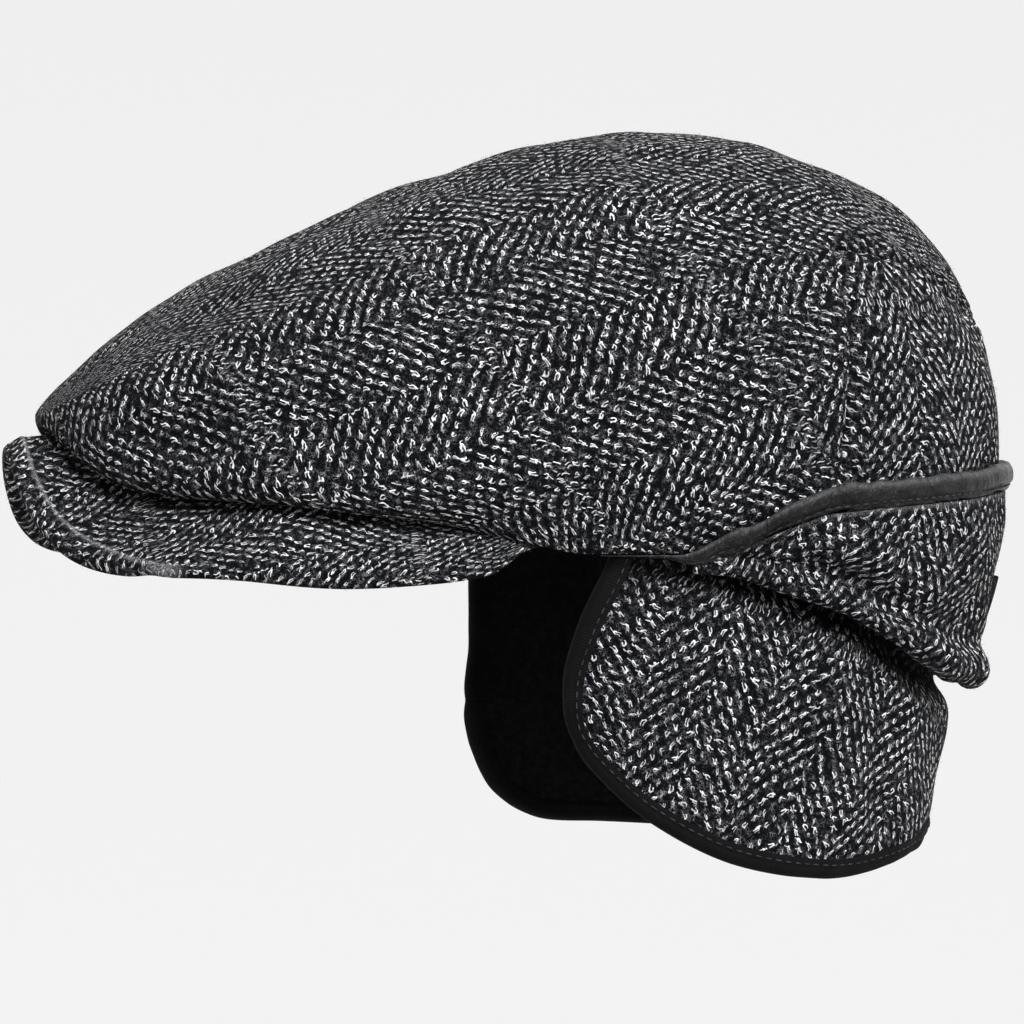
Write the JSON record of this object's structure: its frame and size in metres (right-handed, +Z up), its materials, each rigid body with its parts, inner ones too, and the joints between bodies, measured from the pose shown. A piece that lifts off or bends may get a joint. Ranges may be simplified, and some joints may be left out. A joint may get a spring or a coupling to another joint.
{
  "type": "flat cap with earflaps",
  "caption": "Flat cap with an arched peak, a turned-up cuff with leather piping round the back, and a fleece-lined earflap band over the ears and nape.",
  "frame": {"origin": "middle of the head opening, level with the crown's lower edge at the temples", "axes": "the peak points towards -Y, the wearer's left is +X, +Z is up"},
  "size_m": [0.1942, 0.2759, 0.2001],
  "materials": {
    "tweed": "herringbone wool tweed, black with off-white flecks",
    "leather": "soft black leather, low sheen",
    "fleece": "matt black fleece",
    "tape": "black ribbed binding tape"
  },
  "bodies": {
    "root": {"crown_top_panel": "tweed", "crown_back_panel": "tweed", "peak": "tweed", "cuff": "tweed", "cuff_piping": "leather", "back_tab": "leather", "earflap_band": "tweed", "flap_lining": "fleece", "flap_binding": "tape"}
  },
  "joints": []
}
